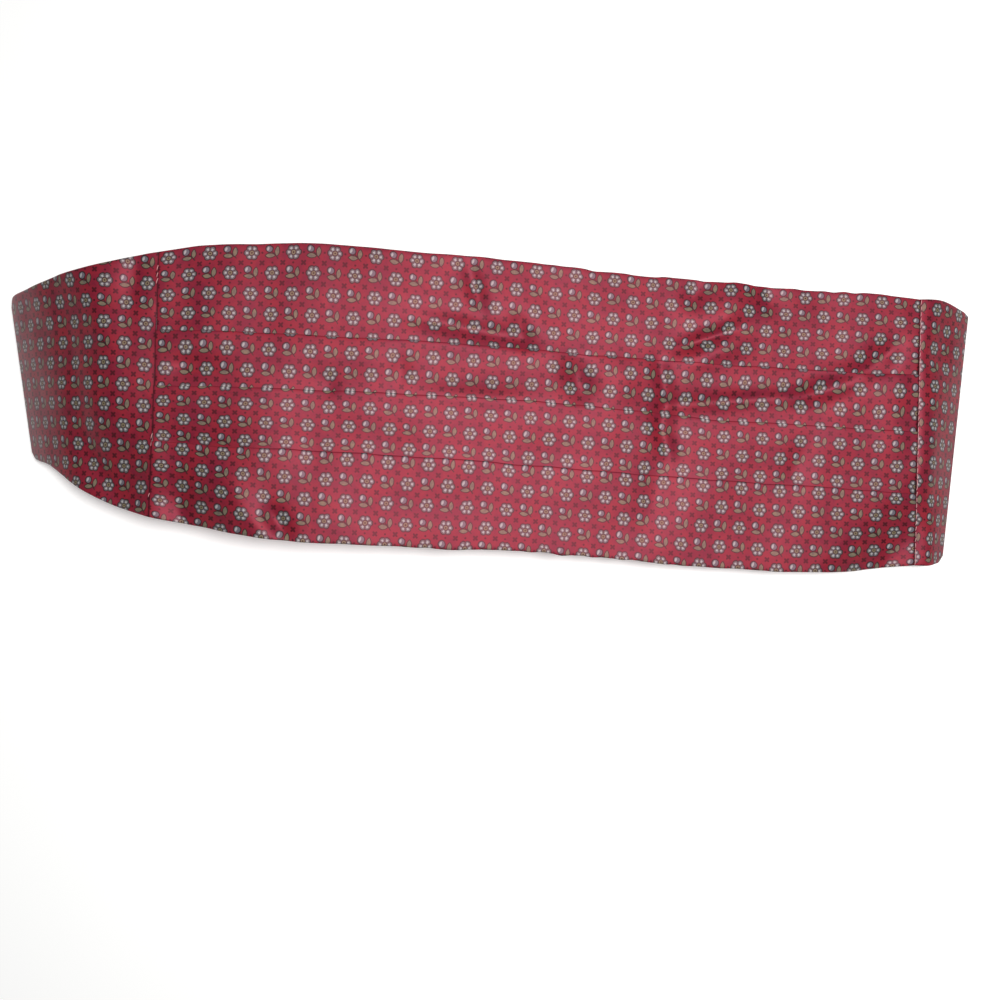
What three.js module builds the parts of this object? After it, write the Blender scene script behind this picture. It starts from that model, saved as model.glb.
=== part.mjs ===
// A pleated cummerbund, fastened and lying on its back: the front looks up, its two
// shaped ends bend under, and a plain strap and clasp lie flat below it.
// Millimetres and degrees. +X runs along the front to its right end as it is looked at,
// +Y to its upper edge and +Z up.
import * as THREE from "three";

// Front panel
const panelLength = 331.5; // between the two end seams
const panelWidth = 127;
const clothThickness = 1;
const layerGap = 0.3; // between two layers of one folded cloth
const seamGap = 0.3; // between two pieces that are sewn together
const underlap = 9; // depth of cloth hidden under each pleat
const pleatRun = 2; // flat cloth above each pleat's lip
const hemDepth = 12; // cloth turned in along the two long edges
const leftRise = 47; // inner face of the front above the floor, at the left seam
const rightRise = 19.5;
const levelShare = 0.28; // how far the front stays level from its left seam
const dipShare = 0.55; // where the front has come down, as a share of its length
const reliefHeight = 4; // height of the largest fold in the front
const reliefFade = 30; // the relief dies out over this length at each seam

// Shaped ends
const endThickness = 2;
const endLength = 165;
const endLean = { left: -0.032, right: 0 }; // lean of each seam, along per across
const creaseRadius = 1; // inside the fold where each end turns under
const leftEnd = { level: 14.8, shoulderRadius: 44, shoulderTurn: 40, floorTurn: 51, lean: -0.209 };
const rightEnd = { level: 1, shoulderRadius: 14, shoulderTurn: 34, floorTurn: 44, lean: 0.04 };

// How the cloth falls away at its lower corners. The fall starts at this height across the
// panel and is whole a cornerSpan below it; each end sags a little more beyond its seam, and
// the left one stays up longer along its upper edge, so its shoulder runs slantwise.
const leftFall = { from: 5, cornerDrop: 4.5, sag: 6, crest: 4 };
const rightFall = { from: -15, cornerDrop: 3, sag: 1.5, crest: 0 };
const cornerSpan = 60;
const cornerReach = 45; // the front falls away over this length beside each seam
const humpScale = 6.75; // makes t(1 - t)^2 one at its highest, where t is a third

// Straps and clasp
const strapWidth = 25;
const strapThickness = 1.2;
const strapReturn = 16; // length of strap folded back beside the clasp
const strapEndWidth = 30; // width of each shaped end where its strap is sewn on
const strapClearance = 0.3;
const claspPlace = -40; // centre of the clasp from the middle of the front
const claspBar = 4;
const claspSlot = 5;
const claspPlate = 12;
const claspThickness = 2;
const claspSide = 3.5;
const claspCorner = 3;

// Edges and pleats of the front. along is a share of the panel's length from its left
// seam; the others are shares of half its width, from its middle line.
const panelSections = [
  { along: 0.0, bottom: -0.921, low: -0.414, middle: -0.046, high: 0.32, top: 0.843 },
  { along: 0.05, bottom: -0.957, low: -0.413, middle: -0.033, high: 0.331, top: 0.9 },
  { along: 0.11, bottom: -0.994, low: -0.417, middle: -0.017, high: 0.35, top: 0.944 },
  { along: 0.18, bottom: -1.019, low: -0.41, middle: -0.008, high: 0.365, top: 0.976 },
  { along: 0.3, bottom: -1.017, low: -0.405, middle: 0.014, high: 0.376, top: 0.988 },
  { along: 0.45, bottom: -0.996, low: -0.397, middle: 0.036, high: 0.394, top: 0.992 },
  { along: 0.59, bottom: -0.998, low: -0.412, middle: 0.038, high: 0.39, top: 0.978 },
  { along: 0.72, bottom: -1.022, low: -0.414, middle: 0.01, high: 0.397, top: 0.977 },
  { along: 0.86, bottom: -1.018, low: -0.41, middle: 0.013, high: 0.406, top: 0.97 },
  { along: 0.94, bottom: -0.968, low: -0.412, middle: 0.02, high: 0.416, top: 0.974 },
  { along: 1.0, bottom: -0.921, low: -0.416, middle: 0.024, high: 0.427, top: 0.961 },
];

// Soft folds of the front. along and across say where, as in panelSections; length and
// width are shares of half the panel's width; rise is a share of reliefHeight.
const panelFolds = [
  { along: 0.528, across: 0.2, turn: 84, length: 0.42, width: 0.13, rise: -0.75 },
  { along: 0.655, across: -0.05, turn: 97, length: 0.62, width: 0.14, rise: -1.0 },
  { along: 0.59, across: 0.2, turn: 95, length: 0.34, width: 0.16, rise: 0.55 },
  { along: 0.7, across: 0.48, turn: 28, length: 0.3, width: 0.09, rise: -0.6 },
  { along: 0.74, across: 0.75, turn: 60, length: 0.3, width: 0.15, rise: 0.5 },
  { along: 0.37, across: 0.75, turn: 75, length: 0.35, width: 0.2, rise: 0.5 },
  { along: 0.42, across: 0.8, turn: 82, length: 0.3, width: 0.12, rise: -0.45 },
  { along: 0.16, across: -0.85, turn: 75, length: 0.3, width: 0.13, rise: -0.35 },
  { along: 0.87, across: 0.22, turn: 12, length: 0.4, width: 0.12, rise: -0.5 },
  { along: 0.1, across: -0.75, turn: 65, length: 0.4, width: 0.16, rise: -0.5 },
  { along: 0.93, across: -0.95, turn: 32, length: 0.7, width: 0.3, rise: -0.9 },
];

// Edges of the two ends. along is a share of the end's length from its seam; upper and
// lower are shares of half the panel's width.
const leftSections = [
  { along: 0.0, lower: -0.921, upper: 0.843 },
  { along: 0.06, lower: -0.893, upper: 0.805 },
  { along: 0.12, lower: -0.857, upper: 0.751 },
  { along: 0.19, lower: -0.802, upper: 0.701 },
  { along: 0.27, lower: -0.733, upper: 0.667 },
  { along: 0.35, lower: -0.665, upper: 0.628 },
  { along: 0.43, lower: -0.608, upper: 0.602 },
  { along: 0.51, lower: -0.585, upper: 0.59 },
  { along: 0.59, lower: -0.555, upper: 0.565 },
];
const rightSections = [
  { along: 0.0, lower: -0.921, upper: 0.961 },
  { along: 0.07, lower: -0.915, upper: 0.972 },
  { along: 0.14, lower: -0.9, upper: 0.945 },
  { along: 0.21, lower: -0.885, upper: 0.918 },
  { along: 0.4, lower: -0.7, upper: 0.73 },
];

const halfPanel = panelWidth / 2;
const coralSilk = new THREE.MeshStandardMaterial({ color: "#b8404f", roughness: 0.55 });
const redWebbing = new THREE.MeshStandardMaterial({ color: "#6e1f2a", roughness: 0.85 });
const plainSteel = new THREE.MeshStandardMaterial({
  color: "#a9abad",
  roughness: 0.35,
  metalness: 0.9,
});

const radians = THREE.MathUtils.degToRad;
const smooth = THREE.MathUtils.smoothstep;

// Reads one column of a table at a share of its length, through a smooth curve.
function readColumn(rows, column, along) {
  const last = rows.length - 1;
  let i = 0;
  while (i < last - 1 && along > rows[i + 1].along) i += 1;
  const [before, from, to, after] = [i - 1, i, i + 1, i + 2].map(
    (k) => rows[THREE.MathUtils.clamp(k, 0, last)],
  );
  const span = to.along - from.along;
  const t = THREE.MathUtils.clamp((along - from.along) / span, 0, 1);
  const slope = (a, b) => (b[column] - a[column]) / (b.along - a.along || span);
  const startSlope = slope(before, to) * span;
  const endSlope = slope(from, after) * span;
  const t2 = t * t;
  const t3 = t2 * t;
  return (
    (2 * t3 - 3 * t2 + 1) * from[column] +
    (t3 - 2 * t2 + t) * startSlope +
    (3 * t2 - 2 * t3) * to[column] +
    (t3 - t2) * endSlope
  );
}

// Adds an arc to a path of points; angles are in degrees, and steps are equal.
function addArc(points, centreX, centreY, radius, from, to, steps) {
  for (let i = 0; i <= steps; i += 1) {
    const angle = radians(from + ((to - from) * i) / steps);
    const x = centreX + radius * Math.cos(angle);
    points.push(new THREE.Vector2(x, centreY + radius * Math.sin(angle)));
  }
}

// The closed outline of a strip of even thickness that follows a path.
function stripOutline(path, thickness) {
  const near = [];
  const far = [];
  path.forEach((point, i) => {
    const before = path[Math.max(i - 1, 0)];
    const after = path[Math.min(i + 1, path.length - 1)];
    const into = i ? point.clone().sub(before).normalize() : null;
    const outOf = i < path.length - 1 ? after.clone().sub(point).normalize() : into;
    const heading = (into || outOf).clone().add(outOf).normalize();
    const stretch = 1 / heading.dot(outOf);
    const side = new THREE.Vector2(-heading.y, heading.x);
    side.multiplyScalar((stretch * thickness) / 2);
    near.push(point.clone().sub(side));
    far.unshift(point.clone().add(side));
  });
  return new THREE.Shape([...near, ...far]);
}

// Extrudes an outline through the given stations, then lets place(station, x, y) put each
// corner where it belongs.
function sweep(outline, stations, place) {
  const steps = stations.length - 1;
  const geometry = new THREE.ExtrudeGeometry(outline, {
    depth: steps,
    steps,
    bevelEnabled: false,
  });
  const position = geometry.getAttribute("position");
  const corner = new THREE.Vector3();
  for (let i = 0; i < position.count; i += 1) {
    corner.fromBufferAttribute(position, i);
    const placed = place(stations[Math.round(corner.z)], corner.x, corner.y);
    position.setXYZ(i, placed.x, placed.y, placed.z);
  }
  geometry.computeVertexNormals();
  return geometry;
}

function named(name, geometry, material) {
  const mesh = new THREE.Mesh(geometry, material);
  mesh.name = name;
  return mesh;
}

// Side view of the front: its inner face from seam to seam.
const panelRise = new THREE.CubicBezierCurve(
  new THREE.Vector2(-panelLength / 2, leftRise),
  new THREE.Vector2(panelLength * (levelShare - 0.5), leftRise),
  new THREE.Vector2(panelLength * (dipShare - 0.5), rightRise),
  new THREE.Vector2(panelLength / 2, rightRise),
);

function reliefAt(x, y) {
  const fromLeft = x + panelLength / 2;
  const fade =
    smooth(fromLeft, 0, reliefFade) * smooth(panelLength - fromLeft, 0, reliefFade);
  const total = panelFolds.reduce((sum, fold) => {
    const offX = fromLeft - fold.along * panelLength;
    const offY = y - fold.across * halfPanel;
    const turn = radians(fold.turn);
    const alongFold = offX * Math.cos(turn) + offY * Math.sin(turn);
    const acrossFold = offY * Math.cos(turn) - offX * Math.sin(turn);
    const far = (alongFold / fold.length) ** 2 + (acrossFold / fold.width) ** 2;
    return sum + fold.rise * Math.exp(-far / halfPanel ** 2);
  }, 0);
  return total * fade * reliefHeight;
}

// How far a corner of the cloth falls, from all of its drop beside the seam to none.
function cornerFall(fall, y, fromSeam) {
  return fall.cornerDrop * smooth(fall.from - y, 0, cornerSpan) * (1 - smooth(fromSeam, 0, 1));
}

// How far an end rises or sags between its seam and its crease, both at their most a third
// of the way from where they begin.
function endRelief(fall, y, reach) {
  const sag = fall.sag * smooth(fall.from - y, 0, cornerSpan) * reach * (1 - reach) ** 2;
  const crest = fall.crest * smooth(y, 0, halfPanel) * reach ** 2 * (1 - reach);
  return (crest - sag) * humpScale - cornerFall(fall, y, reach);
}

// The pleated cloth, edge to edge, as a path across the panel: x runs from the lower edge
// to the upper one, y from the inner face outwards.
const foldRadius = (clothThickness + layerGap) / 2;
const layer = [0, 1, 2].map((i) => clothThickness / 2 + i * 2 * foldRadius);
const arcSteps = 4; // facets in each fold and rounded edge
const panelSteps = 28; // facets along the front

function pleatPath(rest) {
  const { bottom, low, middle, high, top } = rest;
  const path = [new THREE.Vector2(bottom + hemDepth, layer[0])];
  addArc(path, bottom + foldRadius, layer[0] + foldRadius, foldRadius, 270, 90, arcSteps);
  path.push(new THREE.Vector2(bottom + hemDepth + pleatRun, layer[1]));
  for (const lip of [low, middle, high]) {
    path.push(new THREE.Vector2(lip - underlap - pleatRun, layer[2]));
    addArc(path, lip - foldRadius, layer[1] + foldRadius, foldRadius, 90, -90, arcSteps);
    addArc(path, lip - underlap, layer[0] + foldRadius, foldRadius, 90, 270, arcSteps);
    path.push(new THREE.Vector2(lip + pleatRun, layer[0]));
  }
  path.push(new THREE.Vector2(top - hemDepth - pleatRun, layer[1]));
  addArc(path, top - foldRadius, layer[0] + foldRadius, foldRadius, 90, -90, arcSteps);
  path.push(new THREE.Vector2(top - hemDepth, layer[0]));
  return path;
}

function pleatedFront() {
  const lines = ["bottom", "low", "middle", "high", "top"];
  const sectionLine = (line, along) => readColumn(panelSections, line, along) * halfPanel;
  const rest = Object.fromEntries(lines.map((line) => [line, sectionLine(line, 0.5)]));
  const pace = (panelLength - seamGap) / panelSteps;
  const stations = Array.from({ length: panelSteps + 1 }, (_, i) => seamGap / 2 + i * pace);
  const place = (station, across, out) => {
    const along = station / panelLength;
    let band = 0;
    while (band < 3 && across > rest[lines[band + 1]]) band += 1;
    const [from, to] = [lines[band], lines[band + 1]];
    const share = (across - rest[from]) / (rest[to] - rest[from]);
    const y = THREE.MathUtils.lerp(sectionLine(from, along), sectionLine(to, along), share);
    const lean = THREE.MathUtils.lerp(endLean.left, endLean.right, along);
    const point = panelRise.getPoint(curveShare(station));
    const slope = panelRise.getTangent(curveShare(station));
    const height = out + reliefAt(point.x, y);
    const fallen =
      cornerFall(leftFall, y, station / cornerReach) +
      cornerFall(rightFall, y, (panelLength - station) / cornerReach);
    return new THREE.Vector3(
      point.x - slope.y * height + lean * y,
      y,
      point.y + slope.x * height - fallen,
    );
  };
  const outline = stripOutline(pleatPath(rest), clothThickness);
  return named("pleated_front", sweep(outline, stations, place), coralSilk);
}

// The curve's own share at a distance along the panel, found by halving.
function curveShare(station) {
  const wanted = station - panelLength / 2;
  let [low, high] = [0, 1];
  for (let halving = 0; halving < 40; halving += 1) {
    const middle = (low + high) / 2;
    if (panelRise.getPoint(middle).x < wanted) low = middle;
    else high = middle;
  }
  return (low + high) / 2;
}

// Side view of one end from its seam: level, over a shoulder, down a slope that steepens to
// the floor, round a crease and back along the floor. Each station has a place, a heading and
// the length of cloth up to it.
function endStations(end, rise) {
  const stations = [];
  let [x, z, heading, travelled] = [0, rise, 0, 0];
  const record = () => stations.push({ x, z, heading, travelled });
  const goStraight = (length, steps) => {
    for (let i = 0; i < steps; i += 1) {
      x += (length / steps) * Math.cos(heading);
      z -= (length / steps) * Math.sin(heading);
      travelled += length / steps;
      record();
    }
  };
  const goRound = (radius, turn, steps) => {
    const part = turn / steps;
    for (let i = 0; i < steps; i += 1) {
      x += radius * (Math.sin(heading + part) - Math.sin(heading));
      z -= radius * (Math.cos(heading) - Math.cos(heading + part));
      heading += part;
      travelled += radius * part;
      record();
    }
  };
  x = seamGap / 2;
  record();
  goStraight(end.level, 2);
  goRound(end.shoulderRadius, radians(end.shoulderTurn), 6);
  const floorTurn = radians(end.floorTurn);
  const creaseHeight = endThickness + creaseRadius * (1 + Math.cos(floorTurn));
  const slopeRadius = (z - creaseHeight) / (Math.cos(heading) - Math.cos(floorTurn));
  goRound(slopeRadius, floorTurn - heading, 5);
  goRound(creaseRadius, Math.PI - heading, 7);
  goStraight(endLength - travelled, 8);
  return stations;
}

// A flat cloth with round edges, as a closed outline: half its width by its thickness.
function flatOutline(halfWidth, thickness) {
  const round = thickness / 2;
  const points = [];
  addArc(points, halfWidth - round, round, round, -90, 90, arcSteps);
  addArc(points, round - halfWidth, round, round, 90, 270, arcSteps);
  return new THREE.Shape(points);
}

function shapedEnd(name, side, seamLean, end, rise, fall, sections) {
  const tipShare = strapEndWidth / panelWidth;
  const tip = { along: 1, lower: -tipShare, upper: tipShare };
  const rows = [...sections, tip];
  const stations = endStations(end, rise);
  const bend = stations.find((station) => station.heading > Math.PI / 2);
  const place = (station, across, out) => {
    const along = station.travelled / endLength;
    const lower = readColumn(rows, "lower", along) * halfPanel;
    const upper = readColumn(rows, "upper", along) * halfPanel;
    // Only the straight part of the outline is stretched, so the edges stay round.
    const round = endThickness / 2;
    const share = THREE.MathUtils.clamp((side * across) / (halfPanel - round), -1, 1);
    const beyond = side * across - share * (halfPanel - round);
    const y = (upper + lower) / 2 + share * ((upper - lower) / 2 - round) + beyond;
    const reach = station.travelled / bend.travelled;
    const back = (station.travelled - bend.travelled) / (endLength - bend.travelled);
    const easing = reach < 1 ? smooth(reach, 0, 1) : 1 - smooth(back, 0, 1);
    const from = reach < 1 ? seamLean : 0;
    const lean = THREE.MathUtils.lerp(from, end.lean, easing);
    const x = station.x + out * Math.sin(station.heading);
    const level = station.z + out * Math.cos(station.heading);
    const z = level + endRelief(fall, y, Math.min(reach, 1));
    return new THREE.Vector3(side * (panelLength / 2 + x) + lean * y, y, z);
  };
  const outline = flatOutline(halfPanel, endThickness);
  const mesh = named(name, sweep(outline, stations, place), coralSilk);
  const last = stations[stations.length - 1];
  mesh.userData.strapFrom = side * (panelLength / 2 + last.x);
  return mesh;
}

// One strap, in side view: along the floor, under the clasp's outer bar, up through its
// slot, over the bar and back onto itself.
function strap(name, side, from) {
  const reach = claspPlate / 2 + claspSlot;
  const barInner = Math.abs(from - claspPlace) - reach - seamGap;
  const barOuter = barInner - claspBar;
  const offset = strapClearance + strapThickness / 2;
  const lowerLine = strapThickness / 2;
  const barBottom = strapThickness + strapClearance;
  const barTop = barBottom + claspThickness;
  const upperLine = barBottom + strapThickness / 2;
  const fallAngle = 40;
  const fall = radians(fallAngle);
  const path = [new THREE.Vector2(0, lowerLine)];
  addArc(path, barInner, barBottom, offset, -90, 0, arcSteps);
  addArc(path, barInner, barTop, offset, 0, 90, arcSteps);
  addArc(path, barOuter, barTop, offset, 90, 90 + fallAngle, arcSteps);
  const drop = path[path.length - 1].y - upperLine - offset * (1 - Math.cos(fall));
  const foot = path[path.length - 1].x - drop / Math.tan(fall);
  const landing = foot - offset * Math.sin(fall);
  addArc(path, landing, upperLine + offset, offset, fallAngle - 90, -90, arcSteps);
  path.push(new THREE.Vector2(landing - strapReturn, upperLine));
  const geometry = new THREE.ExtrudeGeometry(stripOutline(path, strapThickness), {
    depth: strapWidth,
    bevelEnabled: false,
  });
  const mesh = named(name, geometry, redWebbing);
  mesh.rotation.x = Math.PI / 2;
  mesh.position.y = strapWidth / 2;
  // The side view runs towards the clasp, which from the right end is the other way.
  const laid = new THREE.Group();
  laid.add(mesh);
  laid.rotation.z = side > 0 ? Math.PI : 0;
  laid.position.x = from - side * seamGap;
  return laid;
}

function clasp() {
  const halfX = claspPlate / 2 + claspSlot + claspBar;
  const halfY = strapWidth / 2 + claspSlot / 2 + strapClearance + claspSide;
  const corner = claspCorner;
  const outline = [];
  addArc(outline, halfX - corner, halfY - corner, corner, 0, 90, arcSteps);
  addArc(outline, corner - halfX, halfY - corner, corner, 90, 180, arcSteps);
  addArc(outline, corner - halfX, corner - halfY, corner, 180, 270, arcSteps);
  addArc(outline, halfX - corner, corner - halfY, corner, 270, 360, arcSteps);
  const plate = new THREE.Shape(outline);
  const slotRound = claspSlot / 2;
  const slotEnd = halfY - claspSide - slotRound;
  for (const side of [-1, 1]) {
    const slotCentre = side * (claspPlate / 2 + slotRound);
    const slot = [];
    addArc(slot, slotCentre, slotEnd, slotRound, 0, 180, 2 * arcSteps);
    addArc(slot, slotCentre, -slotEnd, slotRound, 180, 360, 2 * arcSteps);
    plate.holes.push(new THREE.Path(slot));
  }
  const geometry = new THREE.ExtrudeGeometry(plate, {
    depth: claspThickness,
    bevelEnabled: false,
  });
  const mesh = named("clasp", geometry, plainSteel);
  mesh.position.set(claspPlace, 0, strapThickness + strapClearance);
  return mesh;
}

const left = shapedEnd(
  "left_end",
  -1,
  endLean.left,
  leftEnd,
  leftRise,
  leftFall,
  leftSections,
);
const right = shapedEnd(
  "right_end",
  1,
  endLean.right,
  rightEnd,
  rightRise,
  rightFall,
  rightSections,
);
const cummerbund = new THREE.Group();
cummerbund.add(pleatedFront(), left, right);
cummerbund.add(strap("left_strap", -1, left.userData.strapFrom));
cummerbund.add(strap("right_strap", 1, right.userData.strapFrom));
cummerbund.add(clasp());

// The origin is under the middle of the whole, on the floor.
const middle = new THREE.Box3().setFromObject(cummerbund).getCenter(new THREE.Vector3());
cummerbund.position.set(-middle.x, -middle.y, 0);

export default cummerbund;
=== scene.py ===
import math

import bmesh
import bpy
import numpy as np
from mathutils import Matrix, Vector


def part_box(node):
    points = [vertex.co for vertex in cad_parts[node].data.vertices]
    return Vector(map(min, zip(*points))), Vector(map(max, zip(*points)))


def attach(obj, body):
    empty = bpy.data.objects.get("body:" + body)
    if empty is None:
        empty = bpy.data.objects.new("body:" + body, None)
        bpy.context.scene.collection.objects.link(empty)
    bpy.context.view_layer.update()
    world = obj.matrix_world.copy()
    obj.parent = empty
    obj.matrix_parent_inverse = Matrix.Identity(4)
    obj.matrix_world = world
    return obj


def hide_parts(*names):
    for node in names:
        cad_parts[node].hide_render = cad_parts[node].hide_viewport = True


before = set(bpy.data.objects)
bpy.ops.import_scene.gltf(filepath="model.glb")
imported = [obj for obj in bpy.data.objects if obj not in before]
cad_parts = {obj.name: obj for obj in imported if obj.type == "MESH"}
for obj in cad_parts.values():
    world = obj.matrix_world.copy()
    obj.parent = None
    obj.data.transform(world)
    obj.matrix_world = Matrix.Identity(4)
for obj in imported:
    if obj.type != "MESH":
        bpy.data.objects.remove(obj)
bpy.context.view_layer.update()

mm = 0.001  # the cloth is worked out in mm and made in metres
print("frame loaded")


# Small helpers for node trees: a value is a number or another node's output

def plug(tree, value, socket):
    if hasattr(value, "links"):
        tree.links.new(value, socket)
    else:
        socket.default_value = value


def calc(tree, operation, *values):
    node = tree.nodes.new("ShaderNodeMath")
    node.operation = operation
    for value, socket in zip(values, node.inputs):
        plug(tree, value, socket)
    return node.outputs[0]


def moveTo(tree, x, y, centre):
    return calc(tree, "SUBTRACT", x, centre[0]), calc(tree, "SUBTRACT", y, centre[1])


def turnTo(tree, x, y, angle):
    c, s = math.cos(angle), math.sin(angle)
    along = calc(tree, "MULTIPLY_ADD", x, c, calc(tree, "MULTIPLY", y, s))
    across = calc(tree, "MULTIPLY_ADD", y, c, calc(tree, "MULTIPLY", x, -s))
    return along, across


def blendColour(tree, share, first, second):
    node = tree.nodes.new("ShaderNodeMix")
    node.data_type = "RGBA"
    plug(tree, share, node.inputs["Factor"])
    for value, socket in zip((first, second), (node.inputs[6], node.inputs[7])):
        plug(tree, (*value, 1) if isinstance(value, tuple) else value, socket)
    return node.outputs[2]


def noiseOn(tree, vector, scale, detail=2.0, distortion=0.0):
    node = tree.nodes.new("ShaderNodeTexNoise")
    node.inputs["Scale"].default_value = scale
    node.inputs["Detail"].default_value = detail
    node.inputs["Distortion"].default_value = distortion
    tree.links.new(vector, node.inputs["Vector"])
    return node.outputs["Fac"]


def linesOn(tree, x, y, angle, spacing):  # 0 to 1 across parallel threads
    turned = calc(tree, "ADD", calc(tree, "MULTIPLY", x, math.cos(angle)),
                  calc(tree, "MULTIPLY", y, math.sin(angle)))
    wave = calc(tree, "SINE", calc(tree, "MULTIPLY", turned, 2 * math.pi / spacing))
    return calc(tree, "MULTIPLY_ADD", wave, 0.5, 0.5)


def clothPlace(tree):  # where a point lies in the flat cloth, in mm
    uv = tree.nodes.new("ShaderNodeUVMap")
    uv.uv_map = "clothMm"
    parts = tree.nodes.new("ShaderNodeSeparateXYZ")
    tree.links.new(uv.outputs["UV"], parts.inputs[0])
    return uv.outputs["UV"], parts.outputs[0], parts.outputs[1]


def newMaterial(name, roughness, sheen=0.0, metallic=0.0, specular=0.5, sheenRoughness=0.4):
    material = bpy.data.materials.new(name)
    material.use_nodes = True
    shader = material.node_tree.nodes["Principled BSDF"]
    shader.inputs["Roughness"].default_value = roughness
    shader.inputs["Metallic"].default_value = metallic
    shader.inputs["Specular IOR Level"].default_value = specular
    shader.inputs["Sheen Weight"].default_value = sheen
    shader.inputs["Sheen Roughness"].default_value = sheenRoughness
    return material, material.node_tree, shader


def addBump(tree, shader, height, strength, depth):  # depth in mm
    bump = tree.nodes.new("ShaderNodeBump")
    bump.inputs["Strength"].default_value = strength
    bump.inputs["Distance"].default_value = depth * mm
    tree.links.new(height, bump.inputs["Height"])
    tree.links.new(bump.outputs["Normal"], shader.inputs["Normal"])


# Printed silk: florets and sprigs by turns in a square layout, with small marks and dots between, and
# painted shade beside the seams

printLook = {
    "cell": 8.6,  # one motif to a square cell
    "room": 1.08,  # the motifs are drawn this much smaller than their own sizes below
    "coral": (0.236, 0.0132, 0.0232),
    "rose": (0.154, 0.0088, 0.0240),
    "outline": (0.014, 0.013, 0.012),
    "petal": (0.112, 0.118, 0.140),
    "petalInner": (0.084, 0.089, 0.076),
    "white": (0.35, 0.345, 0.34),
    "leaf": (0.172, 0.150, 0.092),
    "dot": (0.045, 0.004, 0.007),
    "seamShade": (0.022, 0.002, 0.004),
    "seamShadeWidth": 0.65,  # painted shade: the seamShade colour fades out over this width beside each seam
    "outlineWidth": 0.5,
    "dotRadius": 0.46,
    "markLeaf": 0.9,  # how far the four leaves of a corner mark stand out from its dot
    "mottle": 2.6,  # broad patches of the two ground colours
    "mottleScale": 0.09,
    "slub": 1.6,  # and small ones
    "slubScale": 0.45,
    "waver": (0.5, 0.9),  # how unsteady the printing is along and across the cloth
    "waverScale": 0.35,
    "shade": (2.4, -0.8),  # contrast and start of the second tone inside petals and leaves
    "shadeScale": 0.7,
    "roughness": 0.54,
    "sheen": 0.03,
    "gloss": 0.8,
    "glossTint": (1, 0.27, 0.35),  # dyed silk shines in its own colour
    "twill": 0.6,  # from thread to thread
    "twillAngle": 1.1,
    "twillDepth": 0.06,
    "grain": 0.7,  # weight of the uneven threads beside the twill
    "grainScale": 1.6,
    "bump": 0.22,
}

floretShape = {
    "petals": 6,
    "radius": 2.85,  # between two petals
    "petalRise": 0.85,  # how far a petal stands out beyond that
    "petalRound": 0.6,
    "glintFrom": 1.55,  # white along the middle of each petal
    "glintTo": 2.55,
    "glintLobe": 0.8,
    "splitFrom": 1.2,  # dark between the petals
    "splitLobe": 0.17,
    "eye": ((1.25, "outline"), (0.92, "leaf"), (0.36, "outline")),
}

sprigShape = {  # lengths and widths are halves
    "turn": 0.75,
    "stemDrop": 1.4,
    "stemLength": 2.4,
    "stemWidth": 0.24,
    "leaves": (((1.75, -1.0), 0.75), ((-1.75, -0.3), 2.35)),
    "leafLength": 2.5,
    "leafWidth": 1.3,
    "leafOutline": 0.4,
    "bud": (0, 2.3),
    "budRadius": 1.9,
    "glint": (-0.3, 2.7),
    "glintLength": 1.1,
    "glintWidth": 0.5,
    "glintTurn": 0.5,
}


def leafShape(tree, x, y, centre, halfLength, halfWidth, angle):
    # two arcs that meet in a point at each end; below 0 is inside, in mm
    radius = (halfLength ** 2 + halfWidth ** 2) / (2 * halfWidth)
    along, across = turnTo(tree, *moveTo(tree, x, y, centre), angle)
    reach = calc(tree, "ADD", calc(tree, "ABSOLUTE", across), radius - halfWidth)
    square = calc(tree, "MULTIPLY_ADD", reach, reach, calc(tree, "MULTIPLY", along, along))
    return calc(tree, "SUBTRACT", calc(tree, "SQRT", square), radius)


def discShape(tree, x, y, centre, radius):
    x, y = moveTo(tree, x, y, centre)
    square = calc(tree, "MULTIPLY_ADD", x, x, calc(tree, "MULTIPLY", y, y))
    return calc(tree, "SUBTRACT", calc(tree, "SQRT", square), radius)


def inside(tree, shape, by=0.0):
    return calc(tree, "LESS_THAN", shape, -by)


def both(tree, first, second):
    return calc(tree, "MULTIPLY", first, second)


def floretColour(tree, ground, x, y, shade):
    look, size = printLook, floretShape
    reach = discShape(tree, x, y, (0, 0), 0)
    turn = calc(tree, "ARCTAN2", y, x)
    lobe = calc(tree, "ABSOLUTE", calc(tree, "COSINE", calc(tree, "MULTIPLY", turn, size["petals"] / 2)))
    border = calc(tree, "MULTIPLY_ADD", calc(tree, "POWER", lobe, size["petalRound"]),
                  size["petalRise"], size["radius"])
    shape = calc(tree, "SUBTRACT", reach, border)
    colour = blendColour(tree, inside(tree, shape), ground, look["outline"])
    petal = blendColour(tree, shade, look["petal"], look["petalInner"])
    colour = blendColour(tree, inside(tree, shape, look["outlineWidth"]), colour, petal)
    glint = both(tree, calc(tree, "GREATER_THAN", lobe, size["glintLobe"]),
                 both(tree, calc(tree, "GREATER_THAN", reach, size["glintFrom"]),
                      calc(tree, "LESS_THAN", reach, size["glintTo"])))
    colour = blendColour(tree, glint, colour, look["white"])
    split = both(tree, calc(tree, "LESS_THAN", lobe, size["splitLobe"]),
                 both(tree, calc(tree, "GREATER_THAN", reach, size["splitFrom"]), inside(tree, shape)))
    colour = blendColour(tree, split, colour, look["outline"])
    for radius, tint in size["eye"]:
        colour = blendColour(tree, calc(tree, "LESS_THAN", reach, radius), colour, look[tint])
    return colour


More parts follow.
